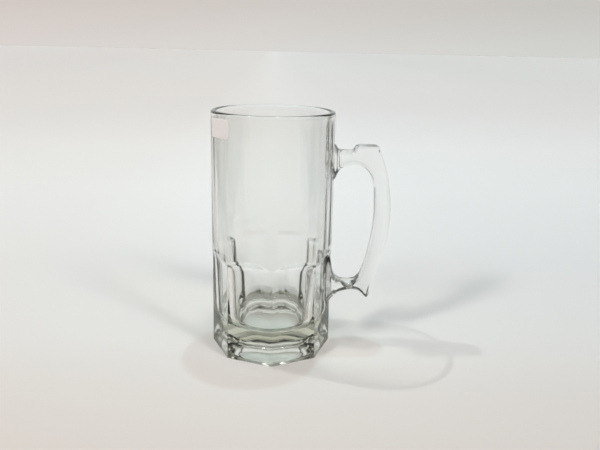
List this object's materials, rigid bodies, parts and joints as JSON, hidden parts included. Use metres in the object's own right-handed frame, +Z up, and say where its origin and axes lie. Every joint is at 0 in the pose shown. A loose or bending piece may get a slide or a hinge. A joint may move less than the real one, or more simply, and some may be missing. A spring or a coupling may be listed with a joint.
{
  "type": "beer mug",
  "caption": "Tall clear pressed-glass beer mug with flat arch-topped panels round its foot, a looped handle with thumb rest and spur, and a bare paper sticker.",
  "frame": {"origin": "the mug's axis in the plane that the foot stands on", "axes": "+Z up along the mug's axis, +X towards the handle, +Y completes the right-handed frame"},
  "size_m": [0.1517, 0.1028, 0.203],
  "materials": {
    "clear_glass": "clear fire-polished soda-lime glass with a faint grey-green tint",
    "handle_glass": "the same clear pressed glass, with a faint mould seam",
    "sticker_paper": "matt uncoated white paper, bare"
  },
  "bodies": {
    "root": {"mug_body": "clear_glass", "handle": "handle_glass", "sticker": "sticker_paper"}
  },
  "joints": []
}
